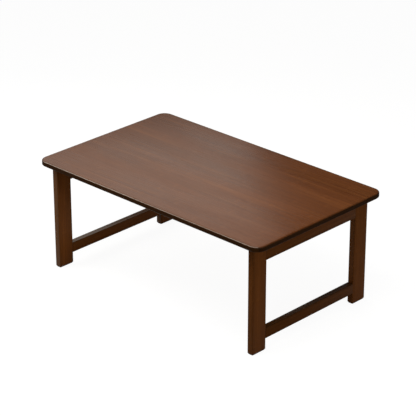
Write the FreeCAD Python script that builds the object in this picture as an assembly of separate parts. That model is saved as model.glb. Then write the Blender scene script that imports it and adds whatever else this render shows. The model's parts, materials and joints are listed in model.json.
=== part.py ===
import FreeCAD, Part
import math
import os

from FreeCAD import Vector

# Low folding floor table: a board top on two end frames, each hung from two self-locking brackets.
# X runs along the long side, Y along the short side and Z up from the floor. Sizes are in mm.

# Overall size
top_length = 800.0
top_width = 480.0
table_height = 315.0

# Top board
top_thick = 15.0
top_corner_r = 28.0
top_upper_arris_r = 4.0
top_lower_bevel = 2.5

# End frames
end_overhang = 34.0
side_overhang = 22.0
leg_width = 48.0
leg_thick = 18.0
arris_r = 1.5
rail_height = 50.0
stretcher_height = 29.0
stretcher_lift = 31.0

# Glued tenons of rails and stretchers
tenon_length = 24.0
tenon_thick = 8.0
tenon_shoulder = 6.0
tenon_gap = 0.1
mortise_relief = 1.0

# Foot pads
pad_thick = 2.5
pad_inset = 1.0
pad_corner_cut = 2.0

# Folding bracket: the pivot lies inside the rail's inner face and under the top
bracket_inset = 60.0
bracket_gauge = 1.8
pivot_in = 9.0
pivot_drop = 14.0
ear_inner_half = 18.0
ear_side_gap = 0.5
pin_fit = 0.05

# Base plate, under the top
base_ear_r = 8.0
base_ear_foot = 36.0
base_ear_lip = 4.0
wing_length = 28.0
wing_half = 26.0
wing_corner_cut = 6.0
wing_screw_side = 19.0
wing_screw_inset = 9.0
root_screw_inset = 10.0

# Leg plate, on the rail
cam_r = 7.0
cam_top_rise = 5.0
cam_foot = 34.0
leg_plate_foot = 46.0
leg_plate_corner_cut = 5.0
leg_screw_side = 9.5
leg_screw_drop = 39.0

# Lock leaf
leaf_gauge = 0.7
leaf_half = 10.0
leaf_head_length = 7.0
leaf_head_gap = 0.4
leaf_run_drop = 4.4
leaf_joggle = 6.0
leaf_root_setback = 6.0
leaf_root_back_gap = 5.0
tooth_reach = 1.6
notch_fit = 0.12
notch_relief = 0.4

# Rivets and screws
pivot_r = 2.5
pivot_head_r = 4.5
pivot_head_h = 1.6
fastener_sides = 12
screw_r = 1.75
screw_head_r = 3.5
screw_head_h = 2.2
screw_in_top = 10.0
screw_in_rail = 12.0
screw_hole_fit = 0.25
pilot_fit = 0.05
pilot_relief = 1.0

# Places worked out from the sizes above
underside_z = table_height - top_thick
leg_outer_x = top_length / 2 - end_overhang
rail_inner_x = leg_outer_x - leg_thick
leg_outer_y = top_width / 2 - side_overhang
leg_inner_y = leg_outer_y - leg_width
bracket_y = leg_inner_y - bracket_inset
ear_outer_half = ear_inner_half + bracket_gauge
cam_outer_half = ear_inner_half - ear_side_gap
wing_start = base_ear_foot
wing_end = wing_start + wing_length
leaf_root_start = wing_start + leaf_root_setback
leaf_root_end = wing_end - leaf_root_back_gap
notch_half = leaf_gauge / 2 + notch_fit
tooth_drop = pivot_drop - cam_r + tooth_reach
notch_floor_r = cam_r - tooth_reach - notch_relief
pivot = Vector(pivot_in, 0, -pivot_drop)
wing_screw_x = wing_end - wing_screw_inset
root_screw_x = wing_end - root_screw_inset
base_screw_spots = ((wing_screw_x, -wing_screw_side), (root_screw_x, 0.0), (wing_screw_x, wing_screw_side))
leg_screw_ys = (-leg_screw_side, leg_screw_side)

sides = ("left", "right")
ends = {"front": -1, "back": 1}


def block(x0, x1, y0, y1, z0, z1):
    return Part.makeBox(x1 - x0, y1 - y0, z1 - z0, Vector(x0, y0, z0))


def lines_along(shape, direction, keep=lambda point: True):
    """Straight edges that run along a direction and whose middle passes a test."""
    found = []
    for edge in shape.Edges:
        if isinstance(edge.Curve, Part.Line) and keep(edge.CenterOfMass):
            if abs(abs(edge.tangentAt(edge.FirstParameter).dot(direction)) - 1) < 1e-6:
                found.append(edge)
    return found


def extrude_side(points, half):
    """Solid between -half and half in Y from an outline given as (x, z) points."""
    corners = [Vector(x, -half, z) for x, z in points]
    outline = Part.makePolygon(corners + corners[:1])
    return Part.Face(outline).extrude(Vector(0, 2 * half, 0))


def tangent_touch(start, centre, radius, away_from):
    """Where a line from start touches a circle in the XZ plane, on the side away from a point."""
    reach = start.sub(centre)
    swing = math.degrees(math.acos(radius / reach.Length))
    arm = Vector(reach).normalize().multiply(radius)
    touches = []
    for turn in (swing, -swing):
        turned = FreeCAD.Rotation(Vector(0, 1, 0), turn).multVec(arm)
        touches.append(centre.add(turned))
    return max(touches, key=lambda touch: touch.sub(away_from).Length)


def wrapped_ear(start, finish, centre, radius, half):
    """Ear outline that leaves start, wraps round a circle and comes back to finish."""
    first = tangent_touch(start, centre, radius, finish)
    last = tangent_touch(finish, centre, radius, start)
    far = centre.sub(start.add(finish).multiply(0.5)).normalize().multiply(radius)
    edges = [
        Part.makeLine(start, first),
        Part.Arc(first, centre.add(far), last).toShape(),
        Part.makeLine(last, finish),
        Part.makeLine(finish, start),
    ]
    face = Part.Face(Part.Wire(edges))
    face.translate(Vector(0, -half, 0))
    return face.extrude(Vector(0, 2 * half, 0))


def channel(outer_half, depth, run):
    """Bent channel: web on top at z = 0, ears hanging down, running along +X from x = 0."""
    outer = block(0, run, -outer_half, outer_half, -depth, 0)
    bends = lines_along(outer, Vector(1, 0, 0), lambda point: point.z > -depth / 2)
    outer = outer.makeFillet(bracket_gauge, bends)
    inner_half = outer_half - bracket_gauge
    return outer.cut(block(0, run, -inner_half, inner_half, -depth, -bracket_gauge))


def bore(radius, x, z, half):
    return Part.makeCylinder(radius, 2 * half, Vector(x, -half, z), Vector(0, 1, 0))


def faceted_rod(radius, length):
    """Many-sided rod from z = 0 down, for screws and the holes that they fill."""
    step = 2 * math.pi / fastener_sides
    angles = [step * i for i in range(fastener_sides)]
    corners = [Vector(radius * math.cos(angle), radius * math.sin(angle), 0) for angle in angles]
    return Part.Face(Part.makePolygon(corners + corners[:1])).extrude(Vector(0, 0, -length))


def wood_screw(length):
    """Screw along Z with its head standing on z = 0 and its shank below."""
    head = faceted_rod(screw_head_r, screw_head_h)
    head.translate(Vector(0, 0, screw_head_h))
    return head.fuse(faceted_rod(screw_r, length))


def turn_up(shape):
    """Turns a screw or its pilot hole to run upwards, into the top."""
    shape.rotate(Vector(0, 0, 0), Vector(1, 0, 0), 180)
    return shape


def turn_out(shape):
    """Turns a screw or its pilot hole to run outwards, into the rail."""
    shape.rotate(Vector(0, 0, 0), Vector(0, 1, 0), 90)
    return shape


def make_top():
    board = block(-top_length / 2, top_length / 2, -top_width / 2, top_width / 2, underside_z, table_height)
    board = board.makeFillet(top_corner_r, lines_along(board, Vector(0, 0, 1)))
    upper = [edge for edge in board.Edges if edge.BoundBox.ZMin > table_height - 1e-6]
    board = board.makeFillet(top_upper_arris_r, upper)
    lower = [edge for edge in board.Edges if edge.BoundBox.ZMax < underside_z + 1e-6]
    board = board.makeChamfer(top_lower_bevel, lower)
    pilots = []
    for side in sides:
        for end in ends:
            for x, y in base_screw_spots:
                pilot = turn_up(faceted_rod(screw_r + pilot_fit, screw_in_top + pilot_relief))
                pilot.translate(Vector(x, y, 0))
                pilots.append(place_bracket(pilot, side, end))
    return board.cut(Part.makeCompound(pilots))


def place_bracket(shape, side, end):
    """Moves a bracket piece from its own frame, rail face at x = 0 and underside at z = 0."""
    placed = shape.copy()
    placed.translate(Vector(-rail_inner_x, ends[end] * bracket_y, underside_z))
    return mirror_to(placed, side)


def mirror_to(shape, side):
    if side == "left":
        return shape
    return shape.mirror(Vector(0, 0, 0), Vector(1, 0, 0))


def tenon(height, z0, grow, length):
    """Tenon on the +Y end of a rail of the left frame, grown on every side by a gap."""
    x = -rail_inner_x - leg_thick / 2
    half = tenon_thick / 2 + grow
    low = z0 + tenon_shoulder - grow
    high = z0 + height - tenon_shoulder + grow
    return block(x - half, x + half, leg_inner_y, leg_inner_y + length, low, high)


def make_leg(end):
    leg = block(-leg_outer_x, -rail_inner_x, leg_inner_y, leg_outer_y, pad_thick, underside_z)
    leg = leg.makeFillet(arris_r, lines_along(leg, Vector(0, 0, 1)))
    for height, z0 in ((rail_height, underside_z - rail_height), (stretcher_height, stretcher_lift)):
        leg = leg.cut(tenon(height, z0, tenon_gap, tenon_length + mortise_relief))
    if ends[end] < 0:
        leg = leg.mirror(Vector(0, 0, 0), Vector(0, 1, 0))
    return leg


def make_pad(end):
    pad = block(
        -leg_outer_x + pad_inset, -rail_inner_x - pad_inset,
        leg_inner_y + pad_inset, leg_outer_y - pad_inset, 0, pad_thick,
    )
    pad = pad.makeChamfer(pad_corner_cut, lines_along(pad, Vector(0, 0, 1)))
    if ends[end] < 0:
        pad = pad.mirror(Vector(0, 0, 0), Vector(0, 1, 0))
    return pad


def make_crosspiece(height, z0):
    """Rail or stretcher of the left frame with a tenon at each end."""
    bar = block(-leg_outer_x, -rail_inner_x, -leg_inner_y, leg_inner_y, z0, z0 + height)
    bar = bar.makeFillet(arris_r, lines_along(bar, Vector(0, 1, 0)))
    one = tenon(height, z0, 0.0, tenon_length)
    return bar.fuse(one).fuse(one.mirror(Vector(0, 0, 0), Vector(0, 1, 0))).removeSplitter()


def make_rail():
    """Upper rail of the left frame, with the leg plates' pilot holes in its inner face."""
    rail = make_crosspiece(rail_height, underside_z - rail_height)
    for end in ends:
        for y in leg_screw_ys:
            pilot = turn_out(faceted_rod(screw_r + pilot_fit, screw_in_rail + pilot_relief))
            pilot.translate(Vector(0, y, -leg_screw_drop))
            rail = rail.cut(place_bracket(pilot, "left", end))
    return rail


def make_base_plate():
    """Channel with two ears round the pivot, and a wing behind it for the screws and the leaf."""
    ear_start = Vector(pivot_in - base_ear_r, 0, 0)
    ear_finish = Vector(base_ear_foot, 0, -base_ear_lip)
    ears = wrapped_ear(ear_start, ear_finish, pivot, base_ear_r, ear_outer_half)
    lip = [(ear_start.x, 0), (base_ear_foot, 0), (base_ear_foot, -base_ear_lip)]
    ears = ears.fuse(extrude_side(lip, ear_outer_half))
    front = channel(ear_outer_half, pivot_drop + base_ear_r, base_ear_foot).common(ears)
    wing = block(wing_start, wing_end, -wing_half, wing_half, -bracket_gauge, 0)
    wing_corners = lines_along(wing, Vector(0, 0, 1), lambda point: point.x > wing_start)
    wing = wing.makeChamfer(wing_corner_cut, wing_corners)
    plate = front.fuse(wing).removeSplitter()
    plate = plate.cut(bore(pivot_r + pin_fit, pivot.x, pivot.z, ear_outer_half))
    for x, y in base_screw_spots:
        hole = faceted_rod(screw_r + screw_hole_fit, bracket_gauge)
        hole.translate(Vector(x, y, 0))
        plate = plate.cut(hole)
    return plate


def make_leg_plate():
    """Channel on the rail's inner face, its ears shaped as cams with an open and a folded notch."""
    web_top = pivot_drop - cam_top_rise
    cam = wrapped_ear(Vector(0, 0, -web_top), Vector(0, 0, -cam_foot), pivot, cam_r, cam_outer_half)
    web = block(0, bracket_gauge, -cam_outer_half, cam_outer_half, -leg_plate_foot, -web_top)
    web_corners = lines_along(web, Vector(1, 0, 0), lambda point: point.z < -cam_foot)
    web = web.makeChamfer(leg_plate_corner_cut, web_corners)
    body = channel(cam_outer_half, pivot_in + cam_r, leg_plate_foot)
    body.rotate(Vector(0, 0, 0), Vector(0, 1, 0), -90)
    body.translate(Vector(0, 0, -leg_plate_foot))
    plate = body.common(cam.fuse(web))
    plate = plate.cut(bore(pivot_r + pin_fit, pivot.x, pivot.z, cam_outer_half))
    open_notch = block(
        pivot.x - notch_half, pivot.x + notch_half, -cam_outer_half, cam_outer_half,
        pivot.z + notch_floor_r, pivot.z + cam_r,
    )
    folded_notch = open_notch.copy()
    folded_notch.rotate(pivot, Vector(0, 1, 0), 90)
    plate = plate.cut(open_notch).cut(folded_notch)
    for y in leg_screw_ys:
        hole = turn_out(faceted_rod(screw_r + screw_hole_fit, bracket_gauge))
        hole.translate(Vector(bracket_gauge, y, -leg_screw_drop))
        plate = plate.cut(hole)
    return plate


def make_lock_leaf():
    """Spring leaf: root under the wing, a step down, a run between the ears and a wide tooth."""
    root_top = -bracket_gauge
    run_top = -leaf_run_drop
    step_end = leaf_root_start - leaf_joggle
    tooth_out = pivot.x - leaf_gauge / 2
    tooth_in = pivot.x + leaf_gauge / 2
    tooth = [(tooth_out, run_top), (tooth_out, -tooth_drop)]
    tooth += [(tooth_in, -tooth_drop), (tooth_in, run_top - leaf_gauge)]
    root_upper = [(leaf_root_end, root_top), (leaf_root_start, root_top), (step_end, run_top)]
    root_lower = [(x, z - leaf_gauge) for x, z in reversed(root_upper)]
    strip = extrude_side(root_upper + tooth + root_lower, leaf_half)
    head_end = tooth_out + leaf_head_length
    head = [(head_end, run_top)] + tooth + [(head_end, run_top - leaf_gauge)]
    leaf = strip.fuse(extrude_side(head, ear_inner_half - leaf_head_gap)).removeSplitter()
    hole = faceted_rod(screw_r + screw_hole_fit, leaf_gauge)
    hole.translate(Vector(root_screw_x, 0, root_top))
    return leaf.cut(hole)


def make_pivot_rivet():
    rivet = bore(pivot_r, pivot.x, pivot.z, ear_outer_half)
    head = faceted_rod(pivot_head_r, pivot_head_h)
    head.rotate(Vector(0, 0, 0), Vector(1, 0, 0), 90)
    head.translate(pivot.add(Vector(0, ear_outer_half, 0)))
    return rivet.fuse(head).fuse(head.mirror(Vector(0, 0, 0), Vector(0, 1, 0)))


def make_base_screw(x, y):
    """Screw driven up into the top; the one on the middle line holds the leaf's root too."""
    under_head = bracket_gauge
    if y == 0:
        under_head += leaf_gauge
    screw = turn_up(wood_screw(screw_in_top + under_head))
    screw.translate(Vector(x, y, -under_head))
    return screw


def make_leg_screw(y):
    """Screw driven through the leg plate into the rail."""
    screw = turn_out(wood_screw(screw_in_rail + bracket_gauge))
    screw.translate(Vector(bracket_gauge, y, -leg_screw_drop))
    return screw


def save(name, shape):
    shape.exportStep(os.path.join("parts", name + ".step"))


os.makedirs("parts", exist_ok=True)

base_plate = make_base_plate()
leg_plate = make_leg_plate()
lock_leaf = make_lock_leaf()
pivot_rivet = make_pivot_rivet()
base_screws = [make_base_screw(x, y) for x, y in base_screw_spots]
leg_screws = [make_leg_screw(y) for y in leg_screw_ys]
rail = make_rail()
stretcher = make_crosspiece(stretcher_height, stretcher_lift)

save("tabletop", make_top())
groups = {"pivot_rivets": [], "base_screws": []}
for side in sides:
    save("rail_" + side, mirror_to(rail, side))
    save("stretcher_" + side, mirror_to(stretcher, side))
    side_screws = []
    for end in ends:
        corner = end + "_" + side
        save("leg_" + corner, mirror_to(make_leg(end), side))
        save("pad_" + corner, mirror_to(make_pad(end), side))
        save("base_plate_" + corner, place_bracket(base_plate, side, end))
        save("leg_plate_" + corner, place_bracket(leg_plate, side, end))
        save("lock_leaf_" + corner, place_bracket(lock_leaf, side, end))
        groups["pivot_rivets"].append(place_bracket(pivot_rivet, side, end))
        groups["base_screws"] += [place_bracket(screw, side, end) for screw in base_screws]
        side_screws += [place_bracket(screw, side, end) for screw in leg_screws]
    save("leg_plate_screws_" + side, Part.makeCompound(side_screws))
for name, solids in groups.items():
    save(name, Part.makeCompound(solids))
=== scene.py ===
import json
import math
import random
import bmesh
import bpy
from mathutils import Euler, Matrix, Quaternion, Vector


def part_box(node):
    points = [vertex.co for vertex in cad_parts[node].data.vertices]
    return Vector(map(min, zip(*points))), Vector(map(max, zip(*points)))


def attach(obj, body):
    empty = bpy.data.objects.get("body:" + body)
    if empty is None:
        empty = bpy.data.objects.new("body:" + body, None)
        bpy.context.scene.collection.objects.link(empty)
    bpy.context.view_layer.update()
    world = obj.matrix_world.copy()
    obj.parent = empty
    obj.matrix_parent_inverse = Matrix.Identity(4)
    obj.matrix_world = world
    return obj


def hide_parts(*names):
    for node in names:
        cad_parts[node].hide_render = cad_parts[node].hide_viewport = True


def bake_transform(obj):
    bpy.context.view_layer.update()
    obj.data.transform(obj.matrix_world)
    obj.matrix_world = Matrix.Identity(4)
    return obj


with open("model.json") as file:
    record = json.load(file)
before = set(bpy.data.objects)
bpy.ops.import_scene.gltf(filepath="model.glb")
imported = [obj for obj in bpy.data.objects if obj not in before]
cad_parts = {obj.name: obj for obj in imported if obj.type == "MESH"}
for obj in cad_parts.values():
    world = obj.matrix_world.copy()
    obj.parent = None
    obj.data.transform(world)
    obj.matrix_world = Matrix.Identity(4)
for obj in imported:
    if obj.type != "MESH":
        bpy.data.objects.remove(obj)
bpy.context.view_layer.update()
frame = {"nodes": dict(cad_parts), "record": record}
print("frame loaded,", len(frame["nodes"]), "nodes")

sides = ("left", "right")
corners = [(end, side) for side in sides for end in ("front", "back")]


# shared small helpers

def tone(red, green, blue):
    # a colour as a picture shows it, 0 to 255, turned into linear light
    linear = []
    for value in (red, green, blue):
        share = value / 255
        linear.append(share / 12.92 if share <= 0.04045 else ((share + 0.055) / 1.055) ** 2.4)
    return (*linear, 1.0)


def newObject(name, data):
    made = bpy.data.objects.new(name, data)
    bpy.context.scene.collection.objects.link(made)
    return made


def addNode(tree, kind, inputs=None, **settings):
    node = tree.nodes.new(kind)
    for key, value in settings.items():
        setattr(node, key, value)
    for key, value in (inputs or {}).items():
        if isinstance(value, bpy.types.NodeSocket):
            tree.links.new(value, node.inputs[key])
        else:
            node.inputs[key].default_value = value
    return node


def maths(tree, operation, first, second=0.0):
    return addNode(tree, "ShaderNodeMath", {0: first, 1: second}, operation=operation).outputs[0]


def awayFrom(tree, value, middle):
    return maths(tree, "ABSOLUTE", maths(tree, "SUBTRACT", value, middle))


def remap(tree, value, low, high, toLow=0.0, toHigh=1.0):
    inputs = {"Value": value, "From Min": low, "From Max": high, "To Min": toLow, "To Max": toHigh}
    return addNode(tree, "ShaderNodeMapRange", inputs, interpolation_type="SMOOTHSTEP").outputs[0]


def combine(tree, x, y, z):
    return addNode(tree, "ShaderNodeCombineXYZ", {0: x, 1: y, 2: z}).outputs[0]


def separate(tree, vector):
    return addNode(tree, "ShaderNodeSeparateXYZ", {0: vector}).outputs


def mixColour(tree, factor, under, over, blend="MIX"):
    # sockets 6 and 7 take the two colours, and output 2 gives the mixed one
    inputs = {0: factor, 6: under, 7: over}
    return addNode(tree, "ShaderNodeMix", inputs, data_type="RGBA", blend_type=blend).outputs[2]


def layOver(tree, colour, amount, strength, over):
    # lays a tone over the colour, where and as far as the amount says
    return mixColour(tree, maths(tree, "MULTIPLY", amount, strength), colour, tone(*over))


def shaded(tree, colour, level):
    return mixColour(tree, 1.0, colour, combine(tree, level, level, level), "MULTIPLY")


def noise(tree, place, scale, detail, roughness=0.5):
    inputs = {"Vector": place, "Scale": scale, "Detail": detail, "Roughness": roughness}
    return addNode(tree, "ShaderNodeTexNoise", inputs).outputs["Fac"]


def objectPlace(tree):
    return addNode(tree, "ShaderNodeTexCoord").outputs["Object"]


def readMark(tree, name):
    return addNode(tree, "ShaderNodeAttribute", attribute_name=name).outputs["Fac"]


def addBump(tree, shader, height, strength, depth):
    bump = addNode(tree, "ShaderNodeBump", {"Height": height, "Strength": strength, "Distance": depth})
    tree.links.new(bump.outputs[0], shader.inputs["Normal"])


def emptyMaterial(name):
    material = bpy.data.materials.new(name)
    material.use_nodes = True
    material.node_tree.nodes.clear()
    return material, material.node_tree


def newMaterial(name):
    material, tree = emptyMaterial(name)
    shader = tree.nodes.new("ShaderNodeBsdfPrincipled")
    addNode(tree, "ShaderNodeOutputMaterial", {"Surface": shader.outputs["BSDF"]})
    return material, tree, shader


# stained bamboo, for the board and for the two end frames

boardFinish = {
    "strip": 0.0195,           # width of one bamboo strip, metres
    "ringSpacing": 0.29,       # between the culm rings of one strip
    "stain": (112, 64, 28),
    "deepStain": (85, 44, 16),
    "paleFibre": (136, 84, 41),
    # pale colour of the rubbed edges; on the board's long upper edges it is mostly a painted highlight
    "rubbedAndHighlight": (212, 202, 190),
    "flecks": 0.5,             # strength of the short dark fibre ends
    "stripVariation": 0.13,
    "rimShade": 0.3,           # stain gathers along the outline of the board
    "rimWidth": 0.0075,
    "middleLift": 0.0,         # how much paler a plank is along its middle
    "endShade": 0.8,           # brightness of the end grain
    "wearAndHighlight": 0.9,
    "roughness": 0.28,
    "specular": 0.30,
    "sheen": (255, 255, 255),  # colour of the gloss
}
boardEdgeFinish = {
    **boardFinish,
    "stain": (76, 45, 19),
    "deepStain": (58, 33, 13),
    "paleFibre": (90, 53, 23),
    "rubbedAndHighlight": (84, 60, 40),
    "wearAndHighlight": 0.15,
    "roughness": 0.48,
    "specular": 0.05,
    "sheen": (255, 214, 170),
}
boardUnderFinish = {**boardFinish, "wearAndHighlight": 0.1, "roughness": 0.55, "specular": 0.08}
frameFinish = {
    **boardFinish,
    "strip": 0.016,
    "ringSpacing": 0.24,
    "rimShade": 0.0,
    "stain": (109, 62, 22),
    "deepStain": (90, 48, 15),
    "paleFibre": (128, 77, 31),
    "rubbedAndHighlight": (122, 80, 44),
    "stripVariation": 0.12,
    "middleLift": 0.12,
    "endShade": 0.5,
    "wearAndHighlight": 0.3,
    "roughness": 0.36,
    "specular": 0.07,
    "sheen": (255, 214, 170),
}
# narrow faces of the left legs and of all bars have more varnish, and their greyer colour is a painted
# sheen
legEdgePaintedSheenFinish = {
    **frameFinish,
    "stain": (100, 62, 28),
    "deepStain": (84, 50, 20),
    "paleFibre": (118, 77, 38),
    "roughness": 0.27,
    "specular": 0.26,
    "sheen": (255, 246, 236),
}
barEdgeFinish = {**legEdgePaintedSheenFinish, "specular": 0.46}

# the grain that all of these share: waves per metre, and the values between which each mark sets in
grainLook = {
    "fine": {"lengthwise": 7.0, "crosswise": 900.0, "detail": 5.0, "roughness": 0.62},
    "broad": {"lengthwise": 2.2, "crosswise": 120.0, "detail": 3.0},
    "fleck": {"lengthwise": 28.0, "crosswise": 240.0, "detail": 2.0},
    "cloud": {"lengthwise": 3.0, "crosswise": 9.0, "detail": 2.0},
    "culmStep": 0.731,               # moves each strip on to another culm
    "cloudLayer": 4.0,               # clouds run on from strip to strip
    "fibreRange": (0.30, 0.72),      # from deep stain to stain
    "streakRange": (0.5, 0.8),
    "streaks": 0.4,                  # strength of the long pale fibres
    "fleckRange": (0.55, 0.72),
    "cloudRange": (0.3, 0.7),
    "cloudShade": (-0.06, 0.06),
    "cloudGloss": (-0.03, 0.03),
    "glueRange": (0.478, 0.497),     # from the middle of a strip, in strip widths
    "glueLine": 0.35,
    "ringDrift": 7.3,                # spreads the rings of neighbouring strips
    "ringBarAt": 0.5,                # these four in ring spacings
    "ringBarRange": (0.011, 0.003),
    "ringPaleAt": 0.53,
    "ringPaleRange": (0.03, 0.005),
    "ringBar": 0.26,
    "ringPale": 0.10,
    "poresPerMetre": 950.0,          # in the end grain
    "poreLayer": 2.0,
    "poreRange": (0.25, 0.55),
    "poreShade": 0.35,
    # the pale rubbed edge is partly real wear and partly a painted highlight
    "arrisRange": (0.12, 0.28),      # lean of a face at which an edge is rubbed
    "wearAndHighlightRange": (0.35, 0.7),
    "glossRange": (0.2, 0.8),
    "glossChange": (0.05, -0.04),
    "fibreHeight": 0.5,
    "glueDepth": 0.4,
    "ringHeight": 0.3,
    "bump": 0.12,
    "bumpDepth": 0.0004,
}
boardOutline = {"low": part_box("tabletop")[0], "high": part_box("tabletop")[1], "cornerRadius": 0.028}


def boardRim(tree):
    # distance from the rounded outline of the board, growing inwards
    place = separate(tree, objectPlace(tree))
    beyond = []
    for axis in range(2):
        half = (boardOutline["high"][axis] - boardOutline["low"][axis]) / 2
        reach = maths(tree, "ABSOLUTE", place[axis])
        beyond.append(maths(tree, "SUBTRACT", reach, half - boardOutline["cornerRadius"]))
    outside = [maths(tree, "POWER", maths(tree, "MAXIMUM", value, 0.0), 2.0) for value in beyond]
    rounded = maths(tree, "SQRT", maths(tree, "ADD", outside[0], outside[1]))
    inside = maths(tree, "MINIMUM", maths(tree, "MAXIMUM", beyond[0], beyond[1]), 0.0)
    return maths(tree, "SUBTRACT", boardOutline["cornerRadius"], maths(tree, "ADD", rounded, inside))


def fibreNoise(tree, along, across, layer, lengthwise, crosswise, detail, roughness=0.5):
    # noise drawn out along the grain
    lengthPlace = maths(tree, "MULTIPLY", along, lengthwise)
    crossPlace = maths(tree, "MULTIPLY", across, crosswise)
    return noise(tree, combine(tree, lengthPlace, crossPlace, layer), 1.0, detail, roughness)


def bambooStrips(tree, along, across, finish):
    # one number per strip gives its tone and shifts its rings
    stripCount = maths(tree, "DIVIDE", across, finish["strip"])
    strip = maths(tree, "FLOOR", stripCount)
    chance = addNode(tree, "ShaderNodeTexWhiteNoise", {"W": strip}, noise_dimensions="1D")
    stripTone = chance.outputs["Value"]
    fromMiddle = awayFrom(tree, maths(tree, "FRACT", stripCount), 0.5)
    glueLine = remap(tree, fromMiddle, *grainLook["glueRange"])

    # culm rings: a thin dark bar with a paler band beside it
    ringCount = maths(tree, "DIVIDE", along, finish["ringSpacing"])
    drift = maths(tree, "MULTIPLY", stripTone, grainLook["ringDrift"])
    ringPlace = maths(tree, "FRACT", maths(tree, "ADD", ringCount, drift))
    fromBar = awayFrom(tree, ringPlace, grainLook["ringBarAt"])
    fromPale = awayFrom(tree, ringPlace, grainLook["ringPaleAt"])
    ringBar = remap(tree, fromBar, *grainLook["ringBarRange"])
    ringPale = remap(tree, fromPale, *grainLook["ringPaleRange"])
    return strip, stripTone, glueLine, ringBar, ringPale


def endGrainPores(tree, along, across, endFace):
    alongPlace = maths(tree, "MULTIPLY", along, grainLook["poresPerMetre"])
    acrossPlace = maths(tree, "MULTIPLY", across, grainLook["poresPerMetre"])
    place = combine(tree, alongPlace, acrossPlace, grainLook["poreLayer"])
    dots = addNode(tree, "ShaderNodeTexVoronoi", {"Vector": place, "Scale": 1.0}).outputs["Distance"]
    onEnds = maths(tree, "MULTIPLY", remap(tree, dots, *grainLook["poreRange"]), endFace)
    return maths(tree, "MULTIPLY", onEnds, grainLook["poreShade"])


def stainedBamboo(name, finish):
    material, tree, shader = newMaterial(name)
    grain = separate(tree, addNode(tree, "ShaderNodeUVMap", uv_map="grain").outputs[0])
    along = grain[0]
    across = grain[1]
    strip, stripTone, glueLine, ringBar, ringPale = bambooStrips(tree, along, across, finish)

    # long fibres, fine and coarse, each strip cut from another culm
    culm = maths(tree, "MULTIPLY", strip, grainLook["culmStep"])
    fine = fibreNoise(tree, along, across, culm, **grainLook["fine"])
    broad = fibreNoise(tree, along, across, culm, **grainLook["broad"])
    fleck = fibreNoise(tree, along, across, culm, **grainLook["fleck"])
    cloud = fibreNoise(tree, along, across, grainLook["cloudLayer"], **grainLook["cloud"])

    # colour, from the stain up
    deepStain = finish["deepStain"]
    paleFibre = finish["paleFibre"]
    fibres = remap(tree, fine, *grainLook["fibreRange"])
    streaks = remap(tree, broad, *grainLook["streakRange"])
    flecks = remap(tree, fleck, *grainLook["fleckRange"])
    colour = mixColour(tree, fibres, tone(*deepStain), tone(*finish["stain"]))
    colour = layOver(tree, colour, streaks, grainLook["streaks"], paleFibre)
    colour = layOver(tree, colour, flecks, finish["flecks"], deepStain)
    colour = layOver(tree, colour, ringPale, grainLook["ringPale"], paleFibre)
    colour = layOver(tree, colour, ringBar, grainLook["ringBar"], deepStain)
    colour = layOver(tree, colour, glueLine, grainLook["glueLine"], deepStain)

    # each strip has its own tone, and a plank is paler along its middle
    half = finish["stripVariation"] / 2
    stripLevel = remap(tree, stripTone, 0.0, 1.0, 1 - half, 1 + half)
    cloudLevel = remap(tree, cloud, *grainLook["cloudRange"], *grainLook["cloudShade"])
    fromMiddle = maths(tree, "POWER", maths(tree, "ABSOLUTE", readMark(tree, "width")), 2.0)
    lift = remap(tree, fromMiddle, 0.0, 1.0, finish["middleLift"], -finish["middleLift"])
    level = maths(tree, "ADD", maths(tree, "ADD", stripLevel, cloudLevel), lift)
    colour = shaded(tree, colour, level)

    # darker end grain with open pores, and the tone of the whole piece
    endFace = readMark(tree, "endFace")
    endLevel = remap(tree, endFace, 0.0, 1.0, 1.0, finish["endShade"])
    endLevel = maths(tree, "MULTIPLY", endLevel, readMark(tree, "pieceTone"))
    pores = endGrainPores(tree, along, across, endFace)
    endLevel = maths(tree, "SUBTRACT", endLevel, maths(tree, "MULTIPLY", pores, endLevel))
    colour = shaded(tree, colour, endLevel)
    if finish["rimShade"]:
        rim = remap(tree, boardRim(tree), finish["rimWidth"], 0.0, 1.0, 1 - finish["rimShade"])
        colour = shaded(tree, colour, rim)

    # rubbed edges, worn unevenly; on the board's long upper edges the pale colour is mostly a painted
    # highlight
    onEdges = remap(tree, readMark(tree, "arris"), *grainLook["arrisRange"])
    wearAndHighlight = remap(tree, broad, *grainLook["wearAndHighlightRange"], finish["wearAndHighlight"] / 2, finish["wearAndHighlight"])
    colour = mixColour(tree, maths(tree, "MULTIPLY", onEdges, wearAndHighlight), colour, tone(*finish["rubbedAndHighlight"]))
    tree.links.new(colour, shader.inputs["Base Color"])

    # satin varnish that follows the fibres
    fibreGloss = remap(tree, fine, *grainLook["glossRange"], *grainLook["glossChange"])
    cloudGloss = remap(tree, cloud, *grainLook["cloudRange"], *grainLook["cloudGloss"])
    gloss = maths(tree, "ADD", fibreGloss, cloudGloss)
    tree.links.new(maths(tree, "ADD", gloss, finish["roughness"]), shader.inputs["Roughness"])
    shader.inputs["Specular IOR Level"].default_value = finish["specular"]
    shader.inputs["Specular Tint"].default_value = tone(*finish["sheen"])
    fibreHeight = maths(tree, "MULTIPLY", fine, grainLook["fibreHeight"])
    glueDepth = maths(tree, "MULTIPLY", glueLine, grainLook["glueDepth"])
    ringHeight = maths(tree, "MULTIPLY", ringBar, grainLook["ringHeight"])
    height = maths(tree, "ADD", maths(tree, "SUBTRACT", fibreHeight, glueDepth), ringHeight)
    addBump(tree, shader, height, grainLook["bump"], grainLook["bumpDepth"])
    return material


boardMaterial = stainedBamboo("satinStainedBoard", boardFinish)
boardEdgeMaterial = stainedBamboo("darkBoardEdge", boardEdgeFinish)
boardUnderMaterial = stainedBamboo("dullBoardUnderside", boardUnderFinish)
frameMaterial = stainedBamboo("stainedFrameBamboo", frameFinish)
# these two carry a painted sheen: a greyer colour on the narrow faces
legEdgePaintedSheenMaterial = stainedBamboo("greyerLegEdge", legEdgePaintedSheenFinish)
barEdgeMaterial = stainedBamboo("shinyStretcherEdge", barEdgeFinish)


# metals and rubber

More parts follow.
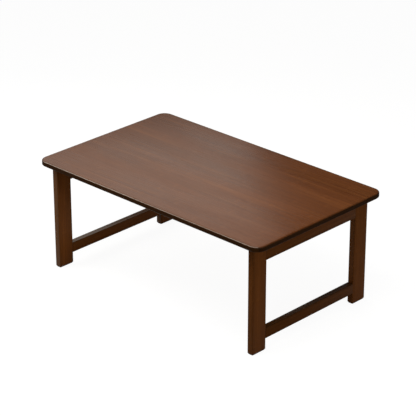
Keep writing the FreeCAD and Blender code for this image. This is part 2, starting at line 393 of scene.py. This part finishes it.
steelFinish = {
    "zinc": (176, 177, 174),
    "dull": (140, 140, 136),
    "bright": (205, 205, 203),      # polished edges
    "brightness": 0.5,
    "edgeRange": (0.08, 0.25),
    "brush": (25.2, 420.0, 420.0),  # brush marks run along X
    "brushScale": 6.0,
    "brushGloss": (-0.06, 0.08),
    "cloudScale": 90.0,
    "cloudRange": (0.35, 0.7),
    "cloudGloss": (-0.04, 0.06),
    "glossRange": (0.3, 0.7),
    "roughness": 0.34,
    "bump": 0.08,
    "bumpDepth": 0.0002,
}
screwFinish = {**steelFinish, "zinc": (182, 178, 164), "dull": (150, 146, 132), "roughness": 0.3}
springFinish = {
    "blue": (88, 94, 106),
    "straw": (112, 104, 96),  # where the heat drew the colour further
    "heatScale": 24.0,
    "heatRange": (0.35, 0.9),
    "grainScale": 900.0,
    "glossRange": (0.3, 0.7),
    "roughness": (0.24, 0.38),
    "bump": 0.06,
    "bumpDepth": 0.0001,
}
rubberFinish = {
    "black": (34, 33, 32),
    "dust": (70, 67, 63),
    "dustiness": 0.4,
    "dustScale": 120.0,
    "dustRange": (0.5, 0.8),
    "gritScale": 1400.0,
    "glossRange": (0.3, 0.7),
    "roughness": (0.70, 0.88),
    "bump": 0.25,
    "bumpDepth": 0.0002,
}


def platedSteel(name, finish):
    material, tree, shader = newMaterial(name)
    place = objectPlace(tree)
    brushPlace = addNode(tree, "ShaderNodeMapping", {"Vector": place, "Scale": finish["brush"]}).outputs[0]
    brushed = noise(tree, brushPlace, finish["brushScale"], detail=4.0)
    cloud = noise(tree, place, finish["cloudScale"], detail=3.0)
    dulled = remap(tree, cloud, *finish["cloudRange"])
    colour = mixColour(tree, dulled, tone(*finish["zinc"]), tone(*finish["dull"]))
    onEdges = remap(tree, readMark(tree, "arris"), *finish["edgeRange"])
    colour = layOver(tree, colour, onEdges, finish["brightness"], finish["bright"])
    tree.links.new(colour, shader.inputs["Base Color"])
    brushGloss = remap(tree, brushed, *finish["glossRange"], *finish["brushGloss"])
    cloudGloss = remap(tree, cloud, *finish["glossRange"], *finish["cloudGloss"])
    gloss = maths(tree, "ADD", brushGloss, cloudGloss)
    tree.links.new(maths(tree, "ADD", gloss, finish["roughness"]), shader.inputs["Roughness"])
    shader.inputs["Metallic"].default_value = 1.0
    addBump(tree, shader, brushed, finish["bump"], finish["bumpDepth"])
    return material


def bluedSpring(name, finish):
    material, tree, shader = newMaterial(name)
    place = objectPlace(tree)
    heat = noise(tree, place, finish["heatScale"], detail=1.0)
    grain = noise(tree, place, finish["grainScale"], detail=3.0)
    heated = remap(tree, heat, *finish["heatRange"])
    colour = mixColour(tree, heated, tone(*finish["blue"]), tone(*finish["straw"]))
    tree.links.new(colour, shader.inputs["Base Color"])
    gloss = remap(tree, grain, *finish["glossRange"], *finish["roughness"])
    tree.links.new(gloss, shader.inputs["Roughness"])
    shader.inputs["Metallic"].default_value = 1.0
    addBump(tree, shader, grain, finish["bump"], finish["bumpDepth"])
    return material


def footRubber(name, finish):
    material, tree, shader = newMaterial(name)
    place = objectPlace(tree)
    grit = noise(tree, place, finish["gritScale"], detail=3.0)
    cloud = noise(tree, place, finish["dustScale"], detail=3.0)
    dusty = remap(tree, cloud, *finish["dustRange"])
    colour = layOver(tree, tone(*finish["black"]), dusty, finish["dustiness"], finish["dust"])
    tree.links.new(colour, shader.inputs["Base Color"])
    gloss = remap(tree, grit, *finish["glossRange"], *finish["roughness"])
    tree.links.new(gloss, shader.inputs["Roughness"])
    addBump(tree, shader, grit, finish["bump"], finish["bumpDepth"])
    return material


steelMaterial = platedSteel("zincPlatedSteel", steelFinish)
screwMaterial = platedSteel("zincScrewSteel", screwFinish)
springMaterial = bluedSpring("bluedSpringSteel", springFinish)
rubberMaterial = footRubber("dullFootRubber", rubberFinish)
print("finishes ready")


# pieces taken over from the frame, with softened edges

softening = {
    "weld": 1e-6,                 # metres between points that are one
    "cutReach": 1e-5,             # metres from a cut at which a point lies on it
    "flatAngle": 0.4,             # degrees up to which faces are one flat
    "sharpAngle": 38.0,           # degrees from which an edge is softened
    "smoothAngle": 32.0,          # degrees up to which a surface shades as one
    "board": {"soften": 0.0003},  # how far back the softening takes an edge, metres
    "frame": {"soften": 0.0004},
    "plate": {"soften": 0.00028},
    "leaf": {"soften": 0.00012},
    "pad": {"soften": 0.0006, "segments": 3},
}


def weldedMesh(node):
    mesh = bmesh.new()
    mesh.from_mesh(bpy.data.objects[node].data)
    bmesh.ops.remove_doubles(mesh, verts=mesh.verts, dist=softening["weld"])
    return mesh


def softened(node, soften, segments, cuts):
    mesh = weldedMesh(node)
    flat = math.radians(softening["flatAngle"])
    bmesh.ops.dissolve_limit(mesh, angle_limit=flat, verts=mesh.verts, edges=mesh.edges)
    least = math.radians(softening["sharpAngle"])
    sharp = [edge for edge in mesh.edges if edge.is_manifold and edge.calc_face_angle(0.0) > least]
    bmesh.ops.bevel(
        mesh, geom=sharp, offset=soften, segments=segments, profile=0.5, affect="EDGES", clamp_overlap=True)
    for place, normal in cuts:
        geometry = mesh.verts[:] + mesh.edges[:] + mesh.faces[:]
        bmesh.ops.bisect_plane(
            mesh, geom=geometry, dist=softening["cutReach"], plane_co=place, plane_no=normal)
    bmesh.ops.dissolve_degenerate(mesh, dist=softening["weld"], edges=mesh.edges)
    bmesh.ops.recalc_face_normals(mesh, faces=mesh.faces)
    return mesh


def finishMesh(data, material):
    data.materials.clear()
    data.materials.append(material)
    data.shade_smooth()
    data.set_sharp_from_angle(angle=math.radians(softening["smoothAngle"]))
    # how far a face leans out of the main directions marks the rounded edges
    lean = [0.0] * len(data.vertices)
    count = [0] * len(data.vertices)
    for face in data.polygons:
        away = 1 - max(abs(value) for value in face.normal)
        for vertex in face.vertices:
            lean[vertex] += away
            count[vertex] += 1
    arris = data.attributes.new("arris", "FLOAT", "POINT")
    arris.data.foreach_set("value", [total / max(1, number) for total, number in zip(lean, count)])


def softCopy(node, material, slotName, body, soften, segments=2, pieceName=None, cuts=()):
    pieceName = pieceName or node + "Soft"
    mesh = softened(node, soften, segments, cuts)
    data = bpy.data.meshes.new(pieceName)
    mesh.to_mesh(data)
    mesh.free()
    finishMesh(data, material)
    piece = newObject(pieceName, data)
    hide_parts(node)
    if body:
        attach(piece, body)
    return piece


# grain of the wooden pieces: along and across it in metres on each face, with marks for sides and ends

grainLay = {"longestShift": 5.0, "faceStep": 0.37}  # metres, so that no two planks or faces match


def grainAxes(face, grainAxis):
    normalAxis = max(range(3), key=lambda axis: abs(face.normal[axis]))
    others = [axis for axis in range(3) if axis != normalAxis]
    if normalAxis == grainAxis:
        return normalAxis, others[0], others[1]
    acrossAxis = [axis for axis in others if axis != grainAxis][0]
    return normalAxis, grainAxis, acrossAxis


def layGrain(piece, node, grainAxis, woodTone=1.0):
    data = piece.data
    chance = random.Random(sum(ord(letter) for letter in node))
    shift = chance.uniform(0, grainLay["longestShift"])
    low = [min(vertex.co[axis] for vertex in data.vertices) for axis in range(3)]
    high = [max(vertex.co[axis] for vertex in data.vertices) for axis in range(3)]
    places = []
    marks = {"width": [], "endFace": [], "pieceTone": [woodTone] * len(data.loops)}
    for face in data.polygons:
        normalAxis, alongAxis, acrossAxis = grainAxes(face, grainAxis)
        middle = (low[acrossAxis] + high[acrossAxis]) / 2
        wide = high[acrossAxis] - low[acrossAxis]
        for loop in face.loop_indices:
            place = data.vertices[data.loops[loop].vertex_index].co
            places.append(place[alongAxis] + shift)
            places.append(place[acrossAxis] + grainLay["faceStep"] * normalAxis)
            marks["width"].append(2 * (place[acrossAxis] - middle) / wide)
            marks["endFace"].append(1.0 if normalAxis == grainAxis else 0.0)
    data.uv_layers.new(name="grain")
    data.uv_layers["grain"].uv.foreach_set("vector", places)
    for name, values in marks.items():
        data.attributes.new(name, "FLOAT", "CORNER").data.foreach_set("value", values)


# the board, with its upper face, edge and underside

boardFaces = {"upper": 0.45, "under": -0.9, "leastLean": 1e-6}  # how far up, down or sideways a face looks


def dressBoard():
    board = softCopy(
        "tabletop", boardMaterial, "top_board", "top", **softening["board"], pieceName="boardTop")
    layGrain(board, "tabletop", grainAxis=0)
    board.data.materials.append(boardEdgeMaterial)
    board.data.materials.append(boardUnderMaterial)
    for face in board.data.polygons:
        if face.normal.z > boardFaces["upper"]:
            face.material_index = 0
        elif face.normal.z < boardFaces["under"]:
            face.material_index = 2
        else:
            face.material_index = 1
    # the painted highlight is kept to the long edges, so the short ends keep their stain
    for vertex, arris in zip(board.data.vertices, board.data.attributes["arris"].data):
        sideways = abs(vertex.normal.x) + abs(vertex.normal.y)
        arris.value *= abs(vertex.normal.y) / max(sideways, boardFaces["leastLean"])


# the end frames, with their feet and the folding brackets' plates

endFrames = {
    # each piece's colour is scaled by its own number
    "tones": {
        "leg_front_left": 1.15, "leg_back_left": 1.08, "leg_front_right": 0.95, "leg_back_right": 0.95,
        "rail_left": 0.78, "rail_right": 0.7, "stretcher_left": 0.76, "stretcher_right": 0.54,
    },
    # only these legs, lit more from the left, get the painted sheen on their narrow faces, and these
    # numbers scale that painted light
    "narrowPaintedLight": {"leg_front_left": 1.12, "leg_back_left": 1.0},
    "narrowFacing": 0.9,
}


def plank(node, side, grainAxis):
    piece = softCopy(node, frameMaterial, "frame_wood", side + "_frame", **softening["frame"])
    layGrain(piece, node, grainAxis, endFrames["tones"][node])
    return piece


def finishNarrowFaces(piece, axis, material, toneShare=1.0):
    data = piece.data
    data.materials.append(material)
    tones = data.attributes["pieceTone"].data
    for face in data.polygons:
        if abs(face.normal[axis]) > endFrames["narrowFacing"]:
            face.material_index = 1
            for loop in face.loop_indices:
                tones[loop].value *= toneShare


def dressEndFrames():
    for side in sides:
        for bar in ("rail_" + side, "stretcher_" + side):
            finishNarrowFaces(plank(bar, side, grainAxis=1), 2, barEdgeMaterial)
    for end, side in corners:
        name = end + "_" + side
        body = side + "_frame"
        leg = plank("leg_" + name, side, grainAxis=2)
        # the left legs' narrow faces get the painted sheen, paler where they are lit more
        if "leg_" + name in endFrames["narrowPaintedLight"]:
            finishNarrowFaces(leg, 1, legEdgePaintedSheenMaterial, endFrames["narrowPaintedLight"]["leg_" + name])
        softCopy("pad_" + name, rubberMaterial, "foot_pad", body, **softening["pad"])
        softCopy("base_plate_" + name, steelMaterial, "bracket_steel", "top", **softening["plate"])
        softCopy("leg_plate_" + name, steelMaterial, "bracket_steel", body, **softening["plate"])


dressBoard()
dressEndFrames()
print("wood, rubber and plates softened")


# lock leaves get rows of points between the screwed root and the toothed end, where they bend

leafBend = {"cuts": 12, "share": 0.6}  # rows of points along a leaf, and the share of it that bends


def dressLeaf(name, side):
    low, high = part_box("lock_leaf_" + name)
    outward = -1 if side == "left" else 1
    joints = {joint["name"]: joint for joint in frame["record"]["behaviour"]["joints"]}
    root = Vector(joints["press_" + name + "_lock"]["pos_m"])
    tip = Vector((outward * max(abs(low[0]), abs(high[0])), root.y, root.z))
    cuts = [(root.lerp(tip, step / leafBend["cuts"]), (1, 0, 0)) for step in range(leafBend["cuts"])]
    leaf = softCopy(
        "lock_leaf_" + name, springMaterial, "spring_steel", None, **softening["leaf"], cuts=cuts)
    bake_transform(leaf)


for end, side in corners:
    dressLeaf(end + "_" + side, side)
print("lock leaves ready")


# screws and rivets, one tree each

screwSizes = {
    "Head Radius": 0.0035, "Head Height": 0.0022, "Core Radius": 0.00128, "Thread Radius": 0.00168,
    "Shank Length": 0.0115, "Tip Length": 0.0030, "Pitch": 0.0013,
    "Recess Length": 0.0038, "Recess Width": 0.00075, "Recess Depth": 0.0013,
}
screwTurns = {"seed": 11, "most": 3.0}  # each recess is turned by chance, radians
rivetSizes = {
    "Head Radius": 0.0045, "Head Height": 0.0016, "Shank Radius": 0.0025, "Seat To Middle": 0.0198,
}
fastenerMesh = {
    "headSegments": 28,
    "headRings": 18,
    "headDome": 0.72,    # a smaller value makes a fuller head
    "screwSides": 20,
    "screwRows": 24,
    "screwTip": 0.06,    # the tip's end as a share of the core
    "threadSteps": 18,   # in one turn
    "threadSides": 4,
    "rivetSides": 32,
}


def newTree(name, sizes):
    tree = bpy.data.node_groups.new(name, "GeometryNodeTree")
    tree.interface.new_socket("Points", in_out="INPUT", socket_type="NodeSocketGeometry")
    for label, value in sizes.items():
        socket = tree.interface.new_socket(label, in_out="INPUT", socket_type="NodeSocketFloat")
        socket.default_value = value
    tree.interface.new_socket("Finish", in_out="INPUT", socket_type="NodeSocketMaterial")
    tree.interface.new_socket("Mesh", in_out="OUTPUT", socket_type="NodeSocketGeometry")
    return tree, tree.nodes.new("NodeGroupInput")


def pointPlace(tree):
    return separate(tree, addNode(tree, "GeometryNodeInputPosition").outputs[0])


def reshaped(tree, geometry, x, y, z):
    inputs = {"Geometry": geometry, "Position": combine(tree, x, y, z)}
    return addNode(tree, "GeometryNodeSetPosition", inputs).outputs[0]


def moved(tree, geometry, up, rotation=(0.0, 0.0, 0.0)):
    inputs = {"Geometry": geometry, "Translation": combine(tree, 0.0, 0.0, up), "Rotation": rotation}
    return addNode(tree, "GeometryNodeTransform", inputs).outputs[0]


def joined(tree, *geometries):
    node = tree.nodes.new("GeometryNodeJoinGeometry")
    for geometry in geometries:
        tree.links.new(geometry, node.inputs[0])
    return node.outputs[0]


def domedHead(tree, radius, height):
    # a ball squeezed into a low dome with a flat seat
    inputs = {"Segments": fastenerMesh["headSegments"], "Rings": fastenerMesh["headRings"], "Radius": 1.0}
    ball = addNode(tree, "GeometryNodeMeshUVSphere", inputs).outputs[0]
    place = pointPlace(tree)
    x = maths(tree, "MULTIPLY", place[0], radius)
    y = maths(tree, "MULTIPLY", place[1], radius)
    rise = maths(tree, "POWER", maths(tree, "MAXIMUM", place[2], 0.0), fastenerMesh["headDome"])
    return reshaped(tree, ball, x, y, maths(tree, "MULTIPLY", rise, height))


def crossRecess(tree, head, size):
    # two crossed bars, each with its lower half in the head, are cut out of it
    barHeight = maths(tree, "MULTIPLY", size["Recess Depth"], 2.0)
    barSize = combine(tree, size["Recess Length"], size["Recess Width"], barHeight)
    bar = addNode(tree, "GeometryNodeMeshCube", {"Size": barSize}).outputs[0]
    recessed = addNode(
        tree, "GeometryNodeMeshBoolean", {"Mesh 1": head}, operation="DIFFERENCE", solver="EXACT")
    for turn in (0.0, math.pi / 2):
        tree.links.new(moved(tree, bar, size["Head Height"], (0.0, 0.0, turn)), recessed.inputs["Mesh 2"])
    return recessed.outputs[0]


def pointedShank(tree, size):
    inputs = {
        "Vertices": fastenerMesh["screwSides"], "Side Segments": fastenerMesh["screwRows"],
        "Radius": 1.0, "Depth": 1.0,
    }
    rod = addNode(tree, "GeometryNodeMeshCylinder", inputs).outputs[0]
    place = pointPlace(tree)
    fromTip = maths(tree, "MULTIPLY", maths(tree, "ADD", place[2], 0.5), size["Shank Length"])
    widening = maths(tree, "DIVIDE", fromTip, size["Tip Length"])
    widening = maths(tree, "ADD", widening, fastenerMesh["screwTip"])
    reach = maths(tree, "MULTIPLY", maths(tree, "MINIMUM", widening, 1.0), size["Core Radius"])
    x = maths(tree, "MULTIPLY", place[0], reach)
    y = maths(tree, "MULTIPLY", place[1], reach)
    return reshaped(tree, rod, x, y, maths(tree, "SUBTRACT", fromTip, size["Shank Length"]))


def screwThread(tree, size):
    # a ridge wound round the straight part of the shank
    straight = maths(tree, "SUBTRACT", size["Shank Length"], size["Tip Length"])
    inputs = {
        "Resolution": fastenerMesh["threadSteps"],
        "Rotations": maths(tree, "DIVIDE", straight, size["Pitch"]),
        "Start Radius": size["Core Radius"],
        "End Radius": size["Core Radius"],
        "Height": straight,
    }
    path = addNode(tree, "GeometryNodeCurveSpiral", inputs).outputs[0]
    path = moved(tree, path, maths(tree, "MULTIPLY", straight, -1.0))
    ridge = maths(tree, "SUBTRACT", size["Thread Radius"], size["Core Radius"])
    inputs = {"Resolution": fastenerMesh["threadSides"], "Radius": ridge}
    profile = addNode(tree, "GeometryNodeCurvePrimitiveCircle", inputs).outputs[0]
    inputs = {"Curve": path, "Profile Curve": profile, "Fill Caps": True}
    return addNode(tree, "GeometryNodeCurveToMesh", inputs).outputs[0]


def closeTree(tree, start, shape):
    turn = addNode(tree, "GeometryNodeInputNamedAttribute", {"Name": "turn"}, data_type="FLOAT_VECTOR")
    rotation = addNode(tree, "FunctionNodeEulerToRotation", {0: turn.outputs[0]}).outputs[0]
    inputs = {"Points": start.outputs["Points"], "Instance": shape, "Rotation": rotation}
    placed = addNode(tree, "GeometryNodeInstanceOnPoints", inputs).outputs[0]
    real = addNode(tree, "GeometryNodeRealizeInstances", {0: placed}).outputs[0]
    inputs = {"Geometry": real, "Material": start.outputs["Finish"]}
    finished = addNode(tree, "GeometryNodeSetMaterial", inputs).outputs[0]
    addNode(tree, "NodeGroupOutput", {0: finished})


def screwTree():
    tree, start = newTree("panHeadScrew", screwSizes)
    size = start.outputs
    head = domedHead(tree, size["Head Radius"], size["Head Height"])
    recessed = crossRecess(tree, head, size)
    closeTree(tree, start, joined(tree, recessed, pointedShank(tree, size), screwThread(tree, size)))
    return tree


def rivetTree():
    tree, start = newTree("domedRivet", rivetSizes)
    size = start.outputs
    seat = size["Seat To Middle"]
    head = domedHead(tree, size["Head Radius"], size["Head Height"])
    upper = moved(tree, head, seat)
    lower = moved(tree, head, maths(tree, "MULTIPLY", seat, -1.0), (math.pi, 0.0, 0.0))
    length = maths(tree, "MULTIPLY", seat, 2.0)
    inputs = {"Vertices": fastenerMesh["rivetSides"], "Radius": size["Shank Radius"], "Depth": length}
    shank = addNode(tree, "GeometryNodeMeshCylinder", inputs).outputs[0]
    closeTree(tree, start, joined(tree, upper, lower, shank))
    return tree


def looseBoxes(node):
    # boxes of the separate solids that one node holds
    mesh = weldedMesh(node)
    left = set(mesh.verts)
    boxes = []
    while left:
        reach = [left.pop()]
        found = []
        while reach:
            vertex = reach.pop()
            found.append(vertex.co.copy())
            for edge in vertex.link_edges:
                other = edge.other_vert(vertex)
                if other in left:
                    left.discard(other)
                    reach.append(other)
        lows = Vector([min(place[axis] for place in found) for axis in range(3)])
        highs = Vector([max(place[axis] for place in found) for axis in range(3)])
        boxes.append((lows, highs))
    mesh.free()
    return sorted(boxes, key=lambda pair: tuple(round(value, 6) for value in pair[0]))


def axisTurn(direction, spin=0.0):
    # turns local up into the direction in which a head faces
    aim = direction.to_track_quat("Z", "Y").to_matrix()
    return (aim @ Euler((0, 0, spin)).to_matrix()).to_euler()


def screwSeats(node, direction, chance):
    # a head's seat lies one head height in from the end of its screw
    direction = Vector(direction)
    seats = []
    for lows, highs in looseBoxes(node):
        halfLength = abs((highs - lows).dot(direction)) / 2
        seat = (lows + highs) / 2 + direction * (halfLength - screwSizes["Head Height"])
        seats.append((seat, axisTurn(direction, chance.uniform(0, screwTurns["most"]))))
    return seats


def rivetSeats(node):
    return [((lows + highs) / 2, axisTurn(Vector((0, 1, 0)))) for lows, highs in looseBoxes(node)]


def placeFasteners(pieceName, node, body, seats, tree, sizes, material, slotName):
    points = bpy.data.meshes.new(pieceName + "Points")
    points.from_pydata([seat for seat, turn in seats], [], [])
    turns = points.attributes.new("turn", "FLOAT_VECTOR", "POINT")
    for index, (seat, turn) in enumerate(seats):
        turns.data[index].vector = turn
    piece = newObject(pieceName, points)
    modifier = piece.modifiers.new("fasteners", "NODES")
    modifier.node_group = tree
    values = {**sizes, "Finish": material}
    for item in tree.interface.items_tree:
        if item.in_out == "INPUT" and item.name in values:
            modifier[item.identifier] = values[item.name]
    graph = bpy.context.evaluated_depsgraph_get()
    solid = bpy.data.meshes.new_from_object(piece.evaluated_get(graph), depsgraph=graph)
    piece.modifiers.remove(modifier)
    piece.data = solid
    finishMesh(solid, material)
    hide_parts(node)
    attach(piece, body)
    print(pieceName, len(seats), "placed,", len(solid.polygons), "faces")


screwChance = random.Random(screwTurns["seed"])
screwKit = {"tree": screwTree(), "sizes": screwSizes, "material": screwMaterial, "slotName": "screw_steel"}
rivetKit = {"tree": rivetTree(), "sizes": rivetSizes, "material": steelMaterial, "slotName": "rivet_steel"}
seats = screwSeats("base_screws", (0, 0, -1), screwChance)
placeFasteners("basePlateScrews", "base_screws", "top", seats, **screwKit)
for side in sides:
    node = "leg_plate_screws_" + side
    seats = screwSeats(node, (1 if side == "left" else -1, 0, 0), screwChance)
    placeFasteners("legPlateScrews_" + side, node, side + "_frame", seats, **screwKit)
placeFasteners("pivotRivets", "pivot_rivets", "top", rivetSeats("pivot_rivets"), **rivetKit)


# floor, light and camera

studio = {
    "lampColour": (1.0, 0.965, 0.90),
    "worldLevel": 0.24,       # light from all round
    "worldGloss": 0.03,       # what the satin board mirrors above the horizon
    "horizon": (0.16, 0.06),  # heights between which the mirrored floor takes over
    "floorRadius": 60.0,
    "floorSides": 64,
    "floorDrop": 0.0005,      # keeps the floor just clear of the feet
    "floorGlow": 0.925,       # white of the floor in the picture
    "floorGloss": 0.12,       # and in what the finishes mirror
    "floorShadow": 0.17,      # how much of the real light shows on it
    "floorBounce": 0.30,      # floor colour for the light it throws back
}
lamps = {
    # from above, a little right of the middle
    "keyLamp": {
        "place": (0.25, -0.38, 1.32), "target": (0.12, -0.05, 0.3),
        "width": 0.7, "height": 0.7, "level": 6.3,
    },
    # mirrored by the board as a pale haze
    "backPanel": {
        "place": (-1.52, 0.76, 1.385), "target": (-0.13, -0.68, 1.385), "roll": 7.0,
        "width": 1.6, "height": 1.14, "level": 1.26,
    },
    # mirrored by the rounded front edge as a thin line
    "edgeStrip": {
        "place": (-0.95, -0.87, 1.3), "target": (-0.95, -0.24, 0.315),
        "width": 0.95, "height": 0.25, "level": 5.0,
    },
    # for the outer faces of the right end frame
    "rightFill": {
        "place": (2.6, -0.15, 0.72), "target": (0.3, 0.0, 0.2),
        "width": 1.6, "height": 1.3, "level": 2.0,
    },
    # from the floor, for the underside and the inner faces
    "underCard": {
        "place": (0.0, 0.0, 0.012), "target": (0.0, 0.0, 1.0),
        "width": 0.56, "height": 0.36, "level": 0.5,
    },
    # for the front of the left end frame
    "leftFill": {
        "place": (-1.3, -0.95, 0.9), "target": (-0.36, -0.2, 0.16),
        "width": 0.9, "height": 0.9, "level": 1.55,
    },
}
cameraSetup = {
    "place": (3.1709, -3.2968, 2.3159),
    "target": (-0.0423, 0.0462, 0.19),
    "lens": 164.47,
    "sensor": 36.0,
    "farthest": 200.0,
}


def seenRays(tree, rays):
    return maths(tree, "MAXIMUM", rays["Is Camera Ray"], rays["Is Transmission Ray"])


def floorMaterial():
    material, tree = emptyMaterial("paleFloor")
    rays = addNode(tree, "ShaderNodeLightPath").outputs
    seen = seenRays(tree, rays)
    level = remap(tree, seen, 0.0, 1.0, studio["floorBounce"], studio["floorShadow"])
    matt = addNode(tree, "ShaderNodeBsdfDiffuse", {"Color": combine(tree, level, level, level)}).outputs[0]
    mirrored = maths(tree, "MULTIPLY", rays["Is Glossy Ray"], studio["floorGloss"])
    strength = maths(tree, "MAXIMUM", maths(tree, "MULTIPLY", seen, studio["floorGlow"]), mirrored)
    glow = addNode(tree, "ShaderNodeEmission", {"Strength": strength}).outputs[0]
    fromAbove = addNode(tree, "ShaderNodeAddShader", {0: matt, 1: glow}).outputs[0]
    # seen from below the floor is left out, so the underside of the table can be looked at
    fromBelow = addNode(tree, "ShaderNodeBsdfTransparent").outputs[0]
    below = addNode(tree, "ShaderNodeNewGeometry").outputs["Backfacing"]
    both = addNode(tree, "ShaderNodeMixShader", {0: below, 1: fromAbove, 2: fromBelow}).outputs[0]
    addNode(tree, "ShaderNodeOutputMaterial", {"Surface": both})
    return material


def paleFloor():
    mesh = bmesh.new()
    bmesh.ops.create_circle(
        mesh, cap_ends=True, segments=studio["floorSides"], radius=studio["floorRadius"])
    data = bpy.data.meshes.new("paleFloor")
    mesh.to_mesh(data)
    mesh.free()
    data.materials.append(floorMaterial())
    floor = newObject("paleFloor", data)
    floor.location.z = -studio["floorDrop"]


def softWorld():
    world = bpy.data.worlds.new("softWorld")
    bpy.context.scene.world = world
    world.use_nodes = True
    tree = world.node_tree
    tree.nodes.clear()
    rays = addNode(tree, "ShaderNodeLightPath").outputs
    direction = separate(tree, addNode(tree, "ShaderNodeTexCoord").outputs["Generated"])
    mirrored = remap(tree, direction[2], *studio["horizon"], studio["worldGloss"], studio["floorGloss"])
    change = maths(tree, "SUBTRACT", mirrored, studio["worldLevel"])
    change = maths(tree, "MULTIPLY", rays["Is Glossy Ray"], change)
    unseen = maths(tree, "ADD", change, studio["worldLevel"])
    strength = maths(tree, "MAXIMUM", seenRays(tree, rays), unseen)
    light = addNode(tree, "ShaderNodeBackground", {"Color": (1, 1, 1, 1), "Strength": strength}).outputs[0]
    addNode(tree, "ShaderNodeOutputWorld", {"Surface": light})


def aimed(place, target):
    return (Vector(target) - Vector(place)).to_track_quat("-Z", "Y")


def softLamp(name, place, target, width, height, level, roll=0.0):
    lamp = bpy.data.lights.new(name, "AREA")
    lamp.shape = "RECTANGLE"
    lamp.size = width
    lamp.size_y = height
    lamp.energy = level * math.pi * width * height
    lamp.color = studio["lampColour"]
    holder = newObject(name, lamp)
    holder.location = place
    holder.rotation_euler = (aimed(place, target) @ Quaternion((0, 0, 1), math.radians(roll))).to_euler()
    holder.visible_camera = False


def photoCamera(place, target, lens, sensor, farthest):
    data = bpy.data.cameras.new("photoCamera")
    data.sensor_fit = "HORIZONTAL"
    data.sensor_width = sensor
    data.lens = lens
    data.clip_end = farthest
    camera = newObject("photoCamera", data)
    camera.location = place
    camera.rotation_euler = aimed(place, target).to_euler()
    bpy.context.scene.camera = camera


paleFloor()
softWorld()
for name, lamp in lamps.items():
    softLamp(name, **lamp)
photoCamera(**cameraSetup)
bpy.context.scene.view_settings.view_transform = "Standard"
print("studio ready")
